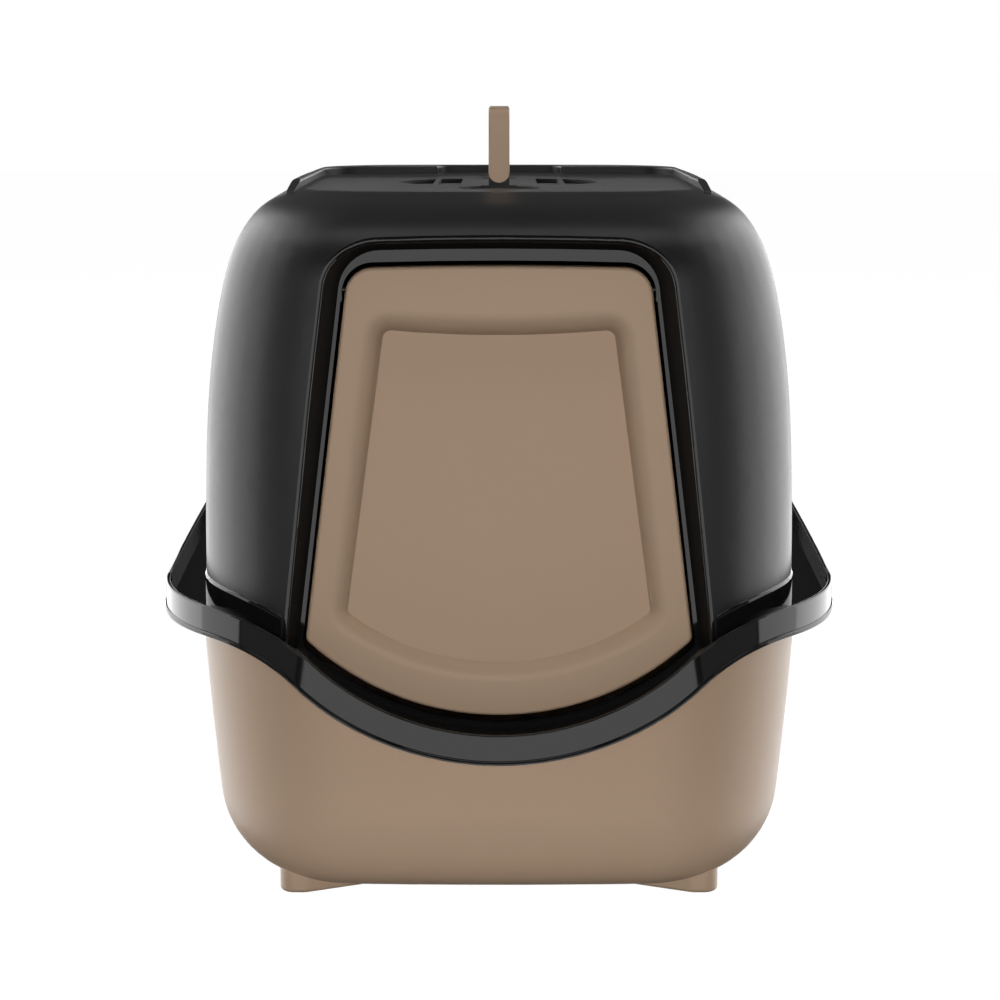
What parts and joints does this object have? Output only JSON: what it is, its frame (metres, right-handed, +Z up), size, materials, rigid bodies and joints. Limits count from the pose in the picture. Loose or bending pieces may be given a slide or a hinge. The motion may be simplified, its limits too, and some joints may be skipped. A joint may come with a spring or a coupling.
{
  "type": "hooded litter box",
  "caption": "Hooded cat litter box: open tray with moulded feet, domed hood with a dipped rim, swing door flap, fold-down carry handle, filter vent and side clips.",
  "frame": {"origin": "on the floor, at the middle of the footprint", "axes": "+Z up, +Y from the door to the back, +X to the right as seen from the door"},
  "size_m": [0.4126, 0.5632, 0.462],
  "materials": {
    "brown_plastic": "satin brown polypropylene with a very fine grain",
    "black_plastic": "black polypropylene, satin on the dome and glossy on the rim and door frame",
    "pin_plastic": "smooth black plastic",
    "charcoal_fleece": "charcoal-filled fleece"
  },
  "bodies": {
    "tray": {"tray": "brown_plastic"},
    "hood": {"hood": "black_plastic", "filter_cover": "black_plastic", "carbon_filter": "charcoal_fleece", "handle_pin_rear": "pin_plastic", "handle_pin_front": "pin_plastic", "clip_pin_right": "pin_plastic", "clip_pin_left": "pin_plastic"},
    "door": {"door_flap": "brown_plastic", "door_pin_right": "pin_plastic", "door_pin_left": "pin_plastic"},
    "handle": {"carry_handle": "brown_plastic"},
    "clip_right": {"side_clip_right": "black_plastic"},
    "clip_left": {"side_clip_left": "black_plastic"}
  },
  "joints": [
    {"name": "hood_lift", "type": "slide", "parent": "tray", "child": "hood", "axis": [0, 0, 1], "range_m": [0, 0.3]},
    {"name": "door_swing", "type": "hinge", "parent": "hood", "child": "door", "pos_m": [0, -0.2365, 0.3625], "axis": [1, 0, 0], "range_deg": [-75, 75]},
    {"name": "handle_fold", "type": "hinge", "parent": "hood", "child": "handle", "pos_m": [0, 0, 0.422], "axis": [0, 1, 0], "range_deg": [-90, 90]},
    {"name": "clip_right_swing", "type": "hinge", "parent": "hood", "child": "clip_right", "pos_m": [0.19579, -0.118, 0.17207], "axis": [0, -1, 0], "range_deg": [0, 50]},
    {"name": "clip_left_swing", "type": "hinge", "parent": "hood", "child": "clip_left", "pos_m": [-0.19579, -0.118, 0.17207], "axis": [0, 1, 0], "range_deg": [0, 50]}
  ]
}
